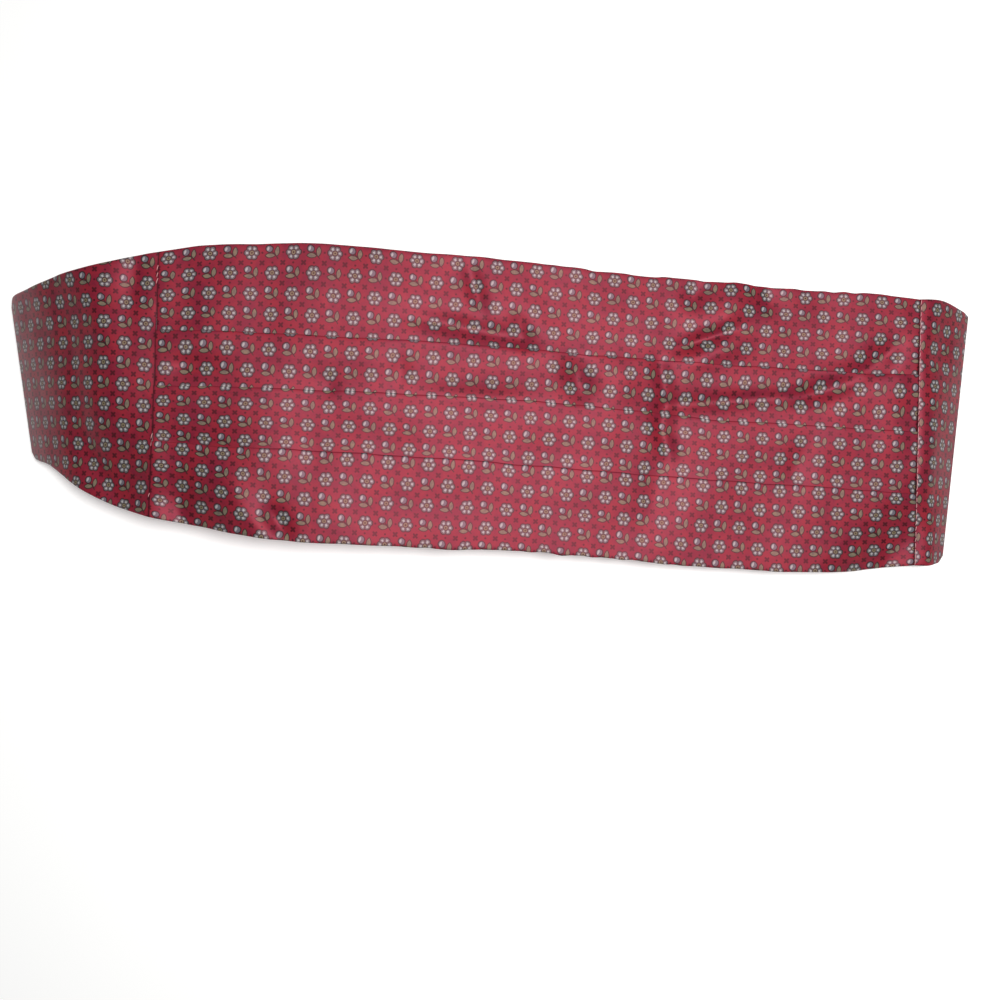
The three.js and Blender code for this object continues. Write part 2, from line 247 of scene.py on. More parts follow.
def sprigColour(tree, ground, x, y, shade):
    look, size = printLook, sprigShape
    u, v = turnTo(tree, x, y, size["turn"])
    fromStem = calc(tree, "ABSOLUTE", u)
    alongStem = calc(tree, "ABSOLUTE", calc(tree, "ADD", v, size["stemDrop"]))
    stem = both(tree, calc(tree, "LESS_THAN", fromStem, size["stemWidth"]),
                calc(tree, "LESS_THAN", alongStem, size["stemLength"]))
    colour = blendColour(tree, stem, ground, look["outline"])
    for centre, angle in size["leaves"]:
        leaf = leafShape(tree, u, v, centre, size["leafLength"], size["leafWidth"], angle)
        colour = blendColour(tree, inside(tree, leaf), colour, look["outline"])
        green = blendColour(tree, shade, look["leaf"], look["petalInner"])
        colour = blendColour(tree, inside(tree, leaf, size["leafOutline"]), colour, green)
    bud = discShape(tree, u, v, size["bud"], size["budRadius"])
    colour = blendColour(tree, inside(tree, bud), colour, look["outline"])
    colour = blendColour(tree, inside(tree, bud, look["outlineWidth"]), colour, look["petal"])
    glint = leafShape(tree, u, v, size["glint"], size["glintLength"], size["glintWidth"], size["glintTurn"])
    return blendColour(tree, inside(tree, glint), colour, look["white"])


def dottedGround(tree, ground, cellX, cellY):
    # a small four-leaved mark at the corners of a cell and a dot halfway between two corners
    look = printLook
    for offX, offY, leaf in ((0.0, 0.0, look["markLeaf"]), (0.5, 0.0, 0), (0.0, 0.5, 0)):
        apart = []
        for part, off in ((cellX, offX), (cellY, offY)):
            near = calc(tree, "PINGPONG", calc(tree, "ADD", part, off), 0.5)
            apart.append(calc(tree, "MULTIPLY", near, look["cell"]))
        dot = discShape(tree, *apart, (0, 0), look["dotRadius"])
        if leaf:
            turn = calc(tree, "ARCTAN2", apart[1], apart[0])
            lobe = calc(tree, "ABSOLUTE", calc(tree, "SINE", calc(tree, "MULTIPLY", turn, 2)))
            dot = calc(tree, "SUBTRACT", dot, calc(tree, "MULTIPLY", lobe, leaf))
        ground = blendColour(tree, inside(tree, dot), ground, look["dot"])
    return ground


def printedSilk():
    look = printLook
    material, tree, shader = newMaterial("printedSilk", look["roughness"], look["sheen"],
                                         specular=look["gloss"])
    shader.inputs["Specular Tint"].default_value = (*look["glossTint"], 1)
    place, x, y = clothPlace(tree)
    mottle = noiseOn(tree, place, look["mottleScale"], 3)
    slub = noiseOn(tree, place, look["slubScale"], 2)
    slub = calc(tree, "MULTIPLY_ADD", slub, look["slub"], -look["slub"])
    tint = calc(tree, "MULTIPLY_ADD", mottle, look["mottle"], slub)
    ground = blendColour(tree, tint, look["rose"], look["coral"])
    cellX, cellY = (calc(tree, "DIVIDE", part, look["cell"]) for part in (x, y))
    column, row = calc(tree, "FLOOR", cellX), calc(tree, "FLOOR", cellY)
    unsteady = noiseOn(tree, place, look["waverScale"], 1)
    local = []
    for share, whole, waver in zip((cellX, cellY), (column, row), look["waver"]):
        part = calc(tree, "SUBTRACT", calc(tree, "SUBTRACT", share, whole), 0.5)
        shift = calc(tree, "MULTIPLY", calc(tree, "SUBTRACT", unsteady, 0.5), waver)
        local.append(calc(tree, "MULTIPLY_ADD", part, look["cell"] * look["room"], shift))
    shade = calc(tree, "MULTIPLY_ADD", noiseOn(tree, place, look["shadeScale"], 2), *look["shade"])
    dotted = dottedGround(tree, ground, cellX, cellY)
    floret = floretColour(tree, dotted, *local, shade)
    sprig = sprigColour(tree, dotted, *local, shade)
    odd = calc(tree, "FLOORED_MODULO", calc(tree, "ADD", column, row), 2)
    printed = blendColour(tree, odd, floret, sprig)
    # painted shade: the cloth is darkened towards both seams, standing in for the shade in the seam grooves
    fromRight = calc(tree, "ABSOLUTE", calc(tree, "SUBTRACT", x, panel["length"]))
    fromSeam = calc(tree, "MINIMUM", calc(tree, "ABSOLUTE", x), fromRight)
    dip = calc(tree, "MULTIPLY_ADD", fromSeam, -1 / look["seamShadeWidth"], 1)
    tree.links.new(blendColour(tree, dip, printed, look["seamShade"]), shader.inputs["Base Color"])
    twill = linesOn(tree, x, y, look["twillAngle"], look["twill"])
    grain = noiseOn(tree, place, look["grainScale"], 3)
    height = calc(tree, "MULTIPLY_ADD", grain, look["grain"], twill)
    addBump(tree, shader, height, look["bump"], look["twillDepth"])
    return material


# The other finishes: a dark and a light tone mixed by noise

reverseLook = {
    "dark": (0.33, 0.040, 0.066),
    "light": (0.43, 0.062, 0.085),
    "mottleScale": 0.12,
    "roughness": 0.6,
    "sheen": 0.15,
    "bump": 0.3,
}
webbingLook = {
    "dark": (0.13, 0.012, 0.022),
    "light": (0.20, 0.022, 0.034),
    "fleckScale": 1.4,
    "roughness": 0.8,
    "sheen": 0.1,
    "ribTone": (0.26, 0.035, 0.05),
    "ribShare": 0.35,
    "rib": 1.1,  # from rib to rib
    "warp": 0.8,  # and from thread to thread across them
    "warpHeight": 0.4,
    "bump": 0.6,
    "depth": 0.2,
}
steelLook = {
    "dark": (0.52, 0.53, 0.54),
    "light": (0.66, 0.67, 0.68),
    "brushing": (300, 9000, 300),  # finer across the strokes than along them
    "roughness": 0.32,
    "bump": 0.25,
    "depth": 0.03,
}
threadLook = {
    "dark": (0.50, 0.17, 0.19),
    "light": (0.72, 0.36, 0.36),
    "twistScale": 2500,
    "roughness": 0.6,
    "sheen": 0.3,
}


def silkReverse():
    look = reverseLook
    material, tree, shader = newMaterial("silkReverse", look["roughness"], look["sheen"])
    place, x, y = clothPlace(tree)
    mottle = noiseOn(tree, place, look["mottleScale"], 3)
    colour = blendColour(tree, mottle, look["dark"], look["light"])
    tree.links.new(colour, shader.inputs["Base Color"])
    twill = linesOn(tree, x, y, -printLook["twillAngle"], printLook["twill"])
    addBump(tree, shader, twill, look["bump"], printLook["twillDepth"])
    return material


def strapWebbing():
    look = webbingLook
    material, tree, shader = newMaterial("strapWebbing", look["roughness"], look["sheen"])
    place, x, y = clothPlace(tree)
    rib = linesOn(tree, x, y, 0, look["rib"])
    warp = linesOn(tree, x, y, math.pi / 2, look["warp"])
    fleck = noiseOn(tree, place, look["fleckScale"], 3)
    colour = blendColour(tree, fleck, look["dark"], look["light"])
    colour = blendColour(tree, both(tree, rib, look["ribShare"]), colour, look["ribTone"])
    tree.links.new(colour, shader.inputs["Base Color"])
    height = calc(tree, "MULTIPLY_ADD", warp, look["warpHeight"], rib)
    addBump(tree, shader, height, look["bump"], look["depth"])
    return material


def satinSteel():
    look = steelLook
    material, tree, shader = newMaterial("satinSteel", look["roughness"], metallic=1.0)
    coordinates = tree.nodes.new("ShaderNodeTexCoord").outputs["Object"]
    stretch = tree.nodes.new("ShaderNodeMapping")
    stretch.inputs["Scale"].default_value = look["brushing"]
    tree.links.new(coordinates, stretch.inputs["Vector"])
    streaks = noiseOn(tree, stretch.outputs["Vector"], 1.0, 4)
    colour = blendColour(tree, streaks, look["dark"], look["light"])
    tree.links.new(colour, shader.inputs["Base Color"])
    addBump(tree, shader, streaks, look["bump"], look["depth"])
    return material


def paleThread():
    look = threadLook
    material, tree, shader = newMaterial("paleThread", look["roughness"], look["sheen"])
    coordinates = tree.nodes.new("ShaderNodeTexCoord").outputs["Object"]
    twist = noiseOn(tree, coordinates, look["twistScale"], 2)
    colour = blendColour(tree, twist, look["dark"], look["light"])
    tree.links.new(colour, shader.inputs["Base Color"])
    return material


# Helpers for cloth and other pieces

def addObject(name, data):
    thing = bpy.data.objects.new(name, data)
    bpy.context.scene.collection.objects.link(thing)
    return thing


def readColumn(rows, column, along):  # a smooth curve through one column of a table
    place = np.array([row["along"] for row in rows])
    value = np.array([row[column] for row in rows])
    last = len(rows) - 1
    low, high = np.clip(np.arange(last + 1) - 1, 0, last), np.clip(np.arange(last + 1) + 1, 0, last)
    slope = (value[high] - value[low]) / (place[high] - place[low])
    i = np.clip(np.searchsorted(place, along, side="right") - 1, 0, last - 1)
    span = place[i + 1] - place[i]
    t = np.clip((along - place[i]) / span, 0, 1)
    return ((2 * t**3 - 3 * t**2 + 1) * value[i] + (t**3 - 2 * t**2 + t) * slope[i] * span
            + (3 * t**2 - 2 * t**3) * value[i + 1] + (t**3 - t**2) * slope[i + 1] * span)


def smooth(x, start=0.0, end=1.0):
    t = np.clip((x - start) / (end - start), 0, 1)
    return t * t * (3 - 2 * t)


def softNoise(x, y, size, seed):  # from -1 to 1, with bumps about size wide
    cells = 97
    grid = np.random.default_rng(seed).uniform(-1, 1, (cells, cells))
    u, v = np.broadcast_arrays(np.asarray(x, float) / size, np.asarray(y, float) / size)
    i, j = np.floor(u).astype(int), np.floor(v).astype(int)
    s, t = smooth(u - i), smooth(v - j)
    i, j, right, above = i % cells, j % cells, (i + 1) % cells, (j + 1) % cells
    return ((grid[i, j] * (1 - s) + grid[right, j] * s) * (1 - t)
            + (grid[i, above] * (1 - s) + grid[right, above] * s) * t)


def waves(size, x, y, seed):  # size is how high and how long they are
    return size[0] * softNoise(x, y, size[1], seed)


def dents(rows, x, y):  # each row is a soft ridge or valley, in mm
    total = 0
    for row in rows:
        turn = math.radians(row["turn"])
        offX, offY = x - row["x"], y - row["y"]
        along = (offX * math.cos(turn) + offY * math.sin(turn)) / row["length"]
        across = (offY * math.cos(turn) - offX * math.sin(turn)) / row["width"]
        total = total + row["rise"] * np.exp(-np.abs(along) ** 2.5 - np.abs(across) ** 1.7)
    return total


def arcPoints(centre, radius, start, end, count):
    angles = np.radians(np.linspace(start, end, count + 1))
    return [(centre[0] + radius * math.cos(a), centre[1] + radius * math.sin(a)) for a in angles]


def steps(start, end, pitch):  # from start up to but not reaching end
    count = max(1, round(abs(end - start) / pitch))
    return start + (end - start) * np.arange(count) / count


def clothBody(name, points, flat, thickness, materials, face=1):
    # points is a grid of places on the middle of the cloth and flat the same grid's places
    # in the flat cut; face says which side of the grid is the printed one
    rows, columns = points.shape[:2]
    du, dv = np.gradient(points, axis=1), np.gradient(points, axis=0)
    normal = np.cross(du, dv) * face
    normal /= np.linalg.norm(normal, axis=2, keepdims=True)
    sides = [points + normal * thickness / 2, points - normal * thickness / 2]
    vertices = np.concatenate([side.reshape(-1, 3) for side in sides]) * mm
    index = np.arange(rows * columns).reshape(rows, columns)
    quads = np.stack([index[:-1, :-1], index[:-1, 1:], index[1:, 1:], index[1:, :-1]], -1).reshape(-1, 4)
    rim = np.concatenate([index[0, :-1], index[:-1, -1], index[-1, :0:-1], index[:0:-1, 0]])
    after = np.roll(rim, -1)
    under = rows * columns
    band = np.stack([rim, rim + under, after + under, after], -1)
    back = quads[:, ::-1] + under
    if face < 0:
        quads, back, band = quads[:, ::-1], back[:, ::-1], band[:, ::-1]
    faces = np.concatenate([quads, back, band])
    mesh = bpy.data.meshes.new(name)
    mesh.from_pydata(vertices.tolist(), [], faces.tolist())
    for material in materials:
        mesh.materials.append(material)
    slots = np.zeros(len(faces), int)
    slots[len(quads):len(quads) + len(back)] = 1
    mesh.polygons.foreach_set("material_index", slots)
    mesh.polygons.foreach_set("use_smooth", np.ones(len(faces), bool))
    corners = np.zeros(len(mesh.loops), int)
    mesh.loops.foreach_get("vertex_index", corners)
    cut = np.concatenate([flat.reshape(-1, 2)] * 2)
    mesh.uv_layers.new(name="clothMm").data.foreach_set("uv", cut[corners].astype(np.float32).ravel())
    mesh.set_sharp_from_angle(angle=math.radians(70))
    mesh.validate()
    return addObject(name, mesh)


def flatLengths(section):  # how far along the flat cloth each point of a cross-section is
    gaps = np.linalg.norm(np.diff(section, axis=0), axis=1)
    return np.concatenate([[0], np.cumsum(gaps)])


# The pleated front

panel = {
    "length": 331.5,
    "width": 127,
    "seamGap": 0.3,  # between the two solids at each seam
    "seam": 0.06,  # and between the two cloths
    "thickness": 0.4,
    "firstLayer": 0.8,  # middle of the innermost layer above the inner face
    "layerPitch": 0.75,
    "underlap": 9,
    "pleatRun": 2,
    "riseOver": 4,  # a band goes on rising this far over the fold under it
    "hem": 12,
    "leftRise": 47,
    "rightRise": 19.5,
    "levelShare": 0.28,
    "dipShare": 0.55,
    "leftLean": -0.032,
    "rightLean": -0.044,
    "rightShift": 2.6,
    "foldDepth": 1.8,  # scales all the dents below
    "reliefFade": 14,  # they fade out towards the seams over this length
    "wave": (0.7, 24),  # small waves all over, their height and length
    "ripple": (0.22, 11),
    "seamPucker": (0.28, 6),
    "edgePucker": (0.3, 4.5),  # along the right half of the upper edge and the middle of the lower
    "edgePuckerFrom": {"bottom": 0.3, "top": 0.45},
    "edgePuckerTo": {"bottom": 0.8, "top": 1.0},
    "wander": (0.4, 22),  # of each fold's edge
    "waver": (0.2, 8),
    "wanderFade": 25,
    "edgeFade": 12,
    "liftFrom": 1.5,  # a pleat lifts from here over the fold under it to its lip
    "lift": (0.05, 0.25, 30),  # the least that it lifts, how much more in places, and their length
    "puff": (0.08, 0.22, 34),  # the same for the cloth between two lips
    "sinkWidth": 4.5,
    "pressed": 0.8,  # the share of the layers' height that is left at the seams
    "grooveReach": 0.7,
    "leftGroove": 0.1,
    "rightGroove": 0.35,
    "seamRows": (0, 0.3, 0.7, 1.2),  # finer beside each seam
    "firstRow": 1.8,
    "visibleStep": 1.35,
    "hiddenStep": 3,
}
foldSteps = 6  # round each fold of a cloth

panelSections = [  # shares of half the width; along is a share of the length
    dict(along=0.0, bottom=-0.921, low=-0.414, middle=-0.046, high=0.32, top=0.843),
    dict(along=0.05, bottom=-0.957, low=-0.413, middle=-0.033, high=0.331, top=0.9),
    dict(along=0.11, bottom=-0.994, low=-0.417, middle=-0.017, high=0.35, top=0.944),
    dict(along=0.18, bottom=-1.019, low=-0.41, middle=-0.008, high=0.365, top=0.976),
    dict(along=0.3, bottom=-1.017, low=-0.405, middle=0.014, high=0.376, top=0.988),
    dict(along=0.45, bottom=-0.996, low=-0.397, middle=0.036, high=0.394, top=0.992),
    dict(along=0.59, bottom=-0.998, low=-0.412, middle=0.038, high=0.39, top=0.978),
    dict(along=0.72, bottom=-1.022, low=-0.414, middle=0.01, high=0.397, top=0.977),
    dict(along=0.86, bottom=-1.018, low=-0.41, middle=0.013, high=0.406, top=0.97),
    dict(along=0.94, bottom=-0.968, low=-0.412, middle=0.02, high=0.416, top=0.974),
    dict(along=1.0, bottom=-0.921, low=-0.416, middle=0.024, high=0.427, top=0.961),
]
panelLines = ("bottom", "low", "middle", "high", "top")

panelDents = [  # x from the middle of the panel, y from its middle line
    dict(x=-33, y=50, turn=109, length=12, width=4, rise=-1.2),
    dict(x=-12, y=33, turn=105, length=8, width=4.5, rise=-1.1),
    dict(x=-63, y=12, turn=90, length=6, width=4, rise=-0.5),
    dict(x=-32, y=32, turn=174, length=26, width=4.5, rise=-1.4),
    dict(x=14, y=14, turn=111, length=9, width=6, rise=-1.7),
    dict(x=32, y=13, turn=95, length=12, width=9, rise=0.5),
    # the long valley right of the middle wanders as it comes down
    dict(x=51.5, y=17, turn=108, length=10, width=4, rise=-1.4),
    dict(x=53, y=2, turn=77, length=8, width=5, rise=-1.6),
    dict(x=54, y=-11, turn=111, length=8, width=4, rise=-1.4),
    dict(x=50, y=-34, turn=75, length=20, width=9, rise=-1.0),
    # a crease runs up from it, with a soft ridge below
    dict(x=70, y=36.5, turn=22.6, length=15, width=3.2, rise=-1.6),
    dict(x=74, y=30, turn=22, length=14, width=6, rise=1.2),
    dict(x=64, y=56, turn=60, length=7, width=5, rise=-0.9),
    dict(x=97, y=57, turn=100, length=7, width=5, rise=-0.9),
    dict(x=80, y=50, turn=60, length=14, width=10, rise=1.4),
    # and another trough wanders up to the right seam
    dict(x=84, y=10, turn=8, length=30, width=3.5, rise=-1.2),
    dict(x=124, y=17.5, turn=20, length=17, width=4.5, rise=-1.6),
    dict(x=150, y=34, turn=38, length=15, width=6, rise=-1.9),
    dict(x=114, y=-14, turn=70, length=12, width=6, rise=-0.7),
    # the two lower corners
    dict(x=156, y=-58, turn=42, length=40, width=15, rise=-1.6),
    dict(x=-156, y=-50, turn=122, length=32, width=13, rise=-2.6),
    dict(x=-128, y=-50, turn=125, length=16, width=7, rise=1.0),
    dict(x=-112, y=-57, turn=126, length=8, width=4, rise=-1.8),
    dict(x=-158, y=45, turn=90, length=18, width=12, rise=-0.7),
    dict(x=-155, y=7, turn=5, length=14, width=5, rise=-1.2),
    dict(x=-93, y=2.5, turn=90, length=5, width=4, rise=-0.4),
]

cornerSpan = 60  # a corner's fall is whole this far below where it starts
cornerReach = 45  # and dies out this far from the seam
fallSpread = 0.4  # cloth that falls also moves out by this share
puckerReach = 9  # puckers and pressed layers die out this far from a seam
puckerStretch = 0.2  # puckers run across the seams, five times as long that way

pleatGapes = [  # where a pleat stands open above the band under it
    dict(lip=2, along=0.40, reach=0.075, rise=1.1, sink=0.4),
    dict(lip=1, along=0.41, reach=0.08, rise=0.7, sink=1.4),
    dict(lip=2, along=0.93, reach=0.07, rise=0.6, sink=1.2),
    dict(lip=0, along=0.05, reach=0.06, rise=0.4, sink=0.8),
]

# level is how far an end runs straight before its shoulder, lean how its crease slants, corners
# how far the two edges draw in there, and slump how it gives way beyond a slanting line
leftEnd = {
    "side": -1, "rise": panel["leftRise"], "level": 14.8, "shoulderRadius": 44, "shoulderTurn": 40,
    "floorTurn": 51, "seamLean": panel["leftLean"], "seamShift": 0, "lean": -0.209,
    "fallFrom": 5, "cornerDrop": 4.5, "sag": 6, "crest": 4, "corners": (2.5, 3.5),
    "slump": 3.5, "slumpFrom": (-158, -33), "slumpTurn": 237, "slumpSpan": 20,
    "groove": 0.45, "grooveReach": 5,
}
rightEnd = {
    "side": 1, "rise": panel["rightRise"], "level": 1, "shoulderRadius": 14, "shoulderTurn": 34,
    "floorTurn": 44, "seamLean": panel["rightLean"], "seamShift": panel["rightShift"], "lean": 0.04,
    "fallFrom": -15, "cornerDrop": 3, "sag": 1.5, "crest": 0, "corners": (3, 0.8),
    "slump": 6.5, "slumpFrom": (150, -31), "slumpTurn": -42, "slumpSpan": 22,
    "groove": 0.45, "grooveReach": 0.7,
}

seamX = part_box("pleated_front")[1].x / mm + panel["seamGap"] / 2
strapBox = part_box("left_strap")
middleX = seamX - panel["length"] / 2
middleY = (strapBox[0].y + strapBox[1].y) / 2 / mm


def panelRise(station):  # height and slope of the inner face at a distance from the left seam
    t = np.linspace(0, 1, 400)
    length, left, right = panel["length"], panel["leftRise"], panel["rightRise"]
    weights = (1 - t) ** 3, 3 * t * (1 - t) ** 2, 3 * t**2 * (1 - t), t**3
    places = 0, panel["levelShare"] * length, panel["dipShare"] * length, length
    x = sum(w * place for w, place in zip(weights, places))
    z = sum(w * height for w, height in zip(weights, (left, left, right, right)))
    slope = np.arctan2(np.gradient(z), np.gradient(x))
    return np.interp(station, x, z), np.interp(station, x, slope)


def pleatedSection(lines):
    # the cloth's cross-section as (across, out, pleat, open): open is 1 on the side that shows
    fold = panel["layerPitch"] / 2
    layer = [panel["firstLayer"] + i * 2 * fold for i in range(3)]
    bottom, top = lines[0], lines[-1]
    under, run, hem = panel["underlap"], panel["pleatRun"], panel["hem"]
    seen, hidden, halfFold = panel["visibleStep"], panel["hiddenStep"], foldSteps // 2 + 1
    section = [(a, layer[0], 0, 0) for a in steps(bottom + hem, bottom + fold, hidden)]
    turn = arcPoints((bottom + fold, layer[0] + fold), fold, 270, 90, foldSteps)
    section += [(*p, 0, 0) for p in turn]
    start, level, riseFrom = bottom + fold, layer[1], bottom + hem
    for pleat, lip in enumerate(lines[1:4]):
        for a in steps(start, lip - fold, seen)[1:]:
            rise = smooth(a, riseFrom, lip - under + panel["riseOver"])
            section.append((a, level + (layer[2] - level) * rise, pleat, 1))
        turn = arcPoints((lip - fold, layer[1] + fold), fold, 90, -90, foldSteps)
        section += [(*p, pleat, 1) for p in turn]
        section += [(a, layer[1], pleat, 0) for a in steps(lip - fold, lip - under, hidden)[1:]]
        turn = arcPoints((lip - under, layer[0] + fold), fold, 90, 270, foldSteps)
        section += [(*p, pleat, 0) for p in turn[:halfFold]]
        section += [(*p, pleat + 1, 0) for p in turn[halfFold:]]
        section += [(a, layer[0], pleat + 1, 0) for a in steps(lip - under, lip - run, hidden)[1:]]
        start, level, riseFrom = lip - run, layer[0], lip + run
    for a in steps(start, top - fold, seen):
        rise = smooth(a, riseFrom, top - hem - run)
        section.append((a, level + (layer[1] - level) * rise, 3, 1))
    section += [(*p, 3, 0) for p in arcPoints((top - fold, layer[0] + fold), fold, 90, -90, foldSteps)]
    section += [(a, layer[0], 3, 0) for a in steps(top - fold, top - hem, hidden)[1:]]
    return np.array(section + [(top - hem, layer[0], 3, 0)])


def cornerFall(end, y, fromSeam):
    return end["cornerDrop"] * smooth(end["fallFrom"] - y, 0, cornerSpan) * (1 - smooth(fromSeam))


def cornerSlump(end, x, y):  # beyond a slanting line the cloth gives way on both sides of the seam
    turn = math.radians(end["slumpTurn"])
    offX, offY = x - end["slumpFrom"][0], y - end["slumpFrom"][1]
    return end["slump"] * smooth(offX * math.cos(turn) + offY * math.sin(turn), 0, end["slumpSpan"])


def fromSeams(station, reach):  # 0 at both seams and 1 from reach on
    return smooth(station, 0, reach) * smooth(panel["length"] - station, 0, reach)


def pleatedFront():
    length, half = panel["length"], panel["width"] / 2
    restLines = [float(readColumn(panelSections, line, 0.5)) * half for line in panelLines]
    section = pleatedSection(restLines)
    across, out, pleat, shows = (column[:, None] for column in section.T)
    nearSeam = panel["seam"] / 2 + np.array(panel["seamRows"])
    inner = np.linspace(panel["firstRow"], length - panel["firstRow"], round(length / panel["visibleStep"]))
    station = np.concatenate([nearSeam, inner, length - nearSeam[::-1]])[None, :]
    share = station / length
    lines = np.array([readColumn(panelSections, line, share[0]) * half for line in panelLines])
    # each lip wanders a little, and the two long edges pucker in places
    for i, line in enumerate(panelLines):
        wander = waves(panel["wander"], station[0], 0, 20 + i) + waves(panel["waver"], station[0], 0, 30 + i)
        if line in panel["edgePuckerFrom"]:
            start, end, ease = panel["edgePuckerFrom"][line], panel["edgePuckerTo"][line], 0.08
            where = smooth(share[0], start, start + ease) * (1 - smooth(share[0], end - ease, end))
            wander = wander + where * waves(panel["edgePucker"], station[0], 0, 40 + i)
        lines[i] += wander * fromSeams(station[0], panel["wanderFade"])
    band = np.clip(np.searchsorted(restLines, across[:, 0]) - 1, 0, 3)
    rest = np.array(restLines)
    t = ((across[:, 0] - rest[band]) / (rest[band + 1] - rest[band]))[:, None]
    y = lines[band] * (1 - t) + lines[band + 1] * t
    x = station - length / 2
    relief = dents(panelDents, x, y) * fromSeams(station, panel["reliefFade"]) * panel["foldDepth"]
    edgeFade = fromSeams(station, panel["edgeFade"])
    relief = relief + edgeFade * (waves(panel["wave"], x, y, 1) + waves(panel["ripple"], x, y * 0.8, 2))
    seamPucker = waves(panel["seamPucker"], x * puckerStretch, y, 3)
    nearSeams = np.exp(-station / puckerReach) + np.exp(-(length - station) / puckerReach)
    relief = relief + seamPucker * nearSeams * edgeFade
    # a pleat lifts at its lip, and the cloth between two lips is a little full
    ownLip = rest[np.clip(pleat.astype(int) + 1, 1, 3)]
    lift = smooth(across, ownLip - panel["underlap"] + panel["liftFrom"], ownLip) * (pleat < 3)
    least, more, wide = panel["lift"]
    gape = least + more * np.abs(softNoise(x, pleat * 40, wide, 4))  # each pleat has noise of its own
    for row in pleatGapes:
        bulge = np.exp(-np.abs((share - row["along"]) / row["reach"]) ** 2.4)
        gape = gape + row["rise"] * bulge * (pleat == row["lip"])
        nearLip = np.exp(-((across - rest[row["lip"] + 1]) / panel["sinkWidth"]) ** 2)
        relief = relief - row["sink"] * bulge * nearLip * (pleat == row["lip"] + 1)
    seenFrom = rest[pleat.astype(int)]
    seenTo = rest[pleat.astype(int) + 1]
    full = np.sin(np.pi * np.clip((across - seenFrom) / (seenTo - seenFrom), 0, 1)) * shows
    least, more, wide = panel["puff"]
    puff = full * (least + more * softNoise(x, pleat * 55, wide, 5))
    press = panel["pressed"] + (1 - panel["pressed"]) * fromSeams(station, puckerReach)
    groove = (panel["leftGroove"] * np.exp(-station / panel["grooveReach"])
              + panel["rightGroove"] * np.exp(-(length - station) / panel["grooveReach"]))
    height = out * press + relief + (lift * gape + puff) * edgeFade - groove
    rise, slope = panelRise(station)
    lean = panel["leftLean"] * (1 - share) + panel["rightLean"] * share**3
    leftFallen = cornerFall(leftEnd, y, station / cornerReach) + cornerSlump(leftEnd, x, y)
    rightFallen = cornerFall(rightEnd, y, (length - station) / cornerReach) + cornerSlump(rightEnd, x, y)
    aside = lean * y + panel["rightShift"] * share**3 + fallSpread * (rightFallen - leftFallen)
    places = np.stack([
        middleX + x - np.sin(slope) * height + aside,
        middleY + y,
        rise + np.cos(slope) * height - leftFallen - rightFallen,
    ], -1)
    v = flatLengths(section[:, :2])
    flat = np.stack(np.broadcast_arrays(station, v[:, None]), -1)
    piece = clothBody("pleatedFront", places, flat, panel["thickness"], [silk, reverse])
    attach(piece, "root")
    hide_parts("pleated_front")
    return piece, v[-1], (places[0], places[-1])


silk, reverse, webbing, steel, thread = (
    printedSilk(), silkReverse(), strapWebbing(), satinSteel(), paleThread())
print("materials made")

front, frontCut, hemEdges = pleatedFront()
print("pleated front:", len(front.data.polygons), "faces, cut", round(frontCut), "mm wide")


# The two shaped ends

endCloth = {
    "length": 165,
    "thickness": 0.5,
    "outer": 1.4,  # middle of the printed layer above the inner face
    "inner": 0.4,  # and of the hems turned in under it
    "depth": 2,  # from the inner face down to the floor at the crease
    "hem": 12,
    "tipWidth": 30,
    "creaseRadius": 1,
    "creaseSteps": 14,
    "drawReach": 3,  # the edges draw in this far from the crease
    "wave": (0.4, 24),
    "ripple": (0.16, 10),
    "seamPucker": (0.25, 6),
    "puckerFrom": 2,
    "seamSteps": (0.3, 0.3, 0.4),  # the first steps are finer, for the groove
    "seamFade": 8,  # the waves and dents fade out over these lengths
    "creaseFade": 16,
    "creaseFlat": 4,
    "step": 1.4,
    "hiddenStep": 3,
}
humpScale = 6.75  # makes t(1 - t)^2 one at its highest, where t is a third

leftSections = [  # along is a share of the end's length, the edges of half the panel's width
    dict(along=0.0, lower=-0.921, upper=0.843),
    dict(along=0.06, lower=-0.893, upper=0.805),
    dict(along=0.12, lower=-0.857, upper=0.751),
    dict(along=0.19, lower=-0.802, upper=0.701),
    dict(along=0.27, lower=-0.733, upper=0.667),
    dict(along=0.35, lower=-0.665, upper=0.628),
    dict(along=0.43, lower=-0.608, upper=0.602),
    dict(along=0.51, lower=-0.585, upper=0.59),
    dict(along=0.59, lower=-0.555, upper=0.565),
]
rightSections = [
    dict(along=0.0, lower=-0.921, upper=0.961),
    dict(along=0.07, lower=-0.915, upper=0.972),
    dict(along=0.14, lower=-0.9, upper=0.945),
    dict(along=0.21, lower=-0.885, upper=0.918),
    dict(along=0.4, lower=-0.7, upper=0.73),
]

leftDents = [  # x from the seam along the cloth, y from the middle line
    # the shoulder runs slantwise: a ridge, and the fall beyond it
    dict(x=21, y=10, turn=80, length=34, width=8, rise=1.6),
    dict(x=40, y=4, turn=80, length=38, width=11, rise=-3.2),
    dict(x=26, y=-40, turn=48, length=22, width=9, rise=-2.4),
    dict(x=10, y=42, turn=95, length=15, width=5, rise=-1.4),
    dict(x=18, y=-18, turn=75, length=30, width=7, rise=-0.9),
    dict(x=30, y=18, turn=60, length=22, width=8, rise=-1.0),
    dict(x=46, y=-6, turn=100, length=26, width=9, rise=0.8),
    dict(x=24, y=-44, turn=40, length=16, width=6, rise=-0.9),
    dict(x=62, y=22, turn=20, length=20, width=7, rise=-0.6),
]
rightDents = [
    dict(x=10, y=38, turn=24, length=14, width=8, rise=-1.3),
    dict(x=14, y=-26, turn=165, length=14, width=8, rise=-0.5),
]


